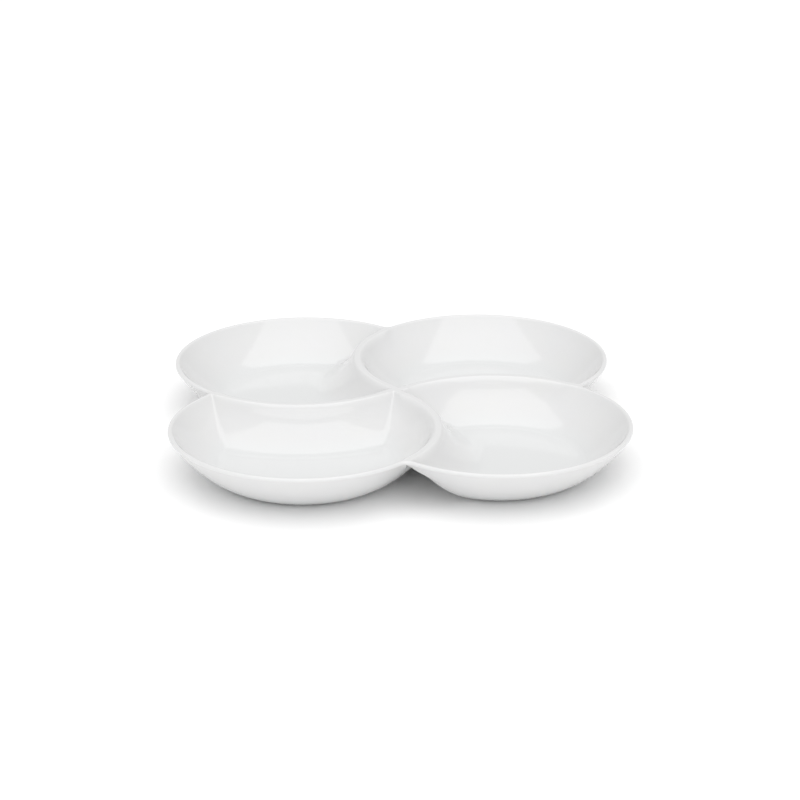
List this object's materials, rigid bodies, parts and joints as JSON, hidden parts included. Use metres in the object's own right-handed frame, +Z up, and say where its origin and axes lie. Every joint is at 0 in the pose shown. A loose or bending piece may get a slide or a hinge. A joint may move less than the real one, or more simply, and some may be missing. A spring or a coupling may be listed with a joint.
{
  "type": "chip and dip server",
  "caption": "White glazed serving dish of overlapping round bowls in a pinwheel, with level divider ridges meeting in the middle, for chips and dips.",
  "frame": {"origin": "on the table plane, on the vertical axis where the divider ridges meet", "axes": "+Z up, -Y towards the user, +X to the right; the bowls' centres lie on the diagonals"},
  "size_m": [0.3298, 0.3298, 0.036],
  "materials": {
    "glaze": "glossy white glaze",
    "bisque": "unglazed, ground flat"
  },
  "bodies": {
    "root": {"bowl_front_left": "glaze", "bowl_front_right": "glaze", "bowl_back_right": "glaze", "bowl_back_left": "glaze", "divider_front_left": "glaze", "divider_front_right": "glaze", "divider_back_right": "glaze", "divider_back_left": "glaze", "foot_rail_front_left": "bisque", "foot_rail_front_right": "bisque", "foot_rail_back_right": "bisque", "foot_rail_back_left": "bisque", "centre_boss": "glaze"}
  },
  "joints": []
}
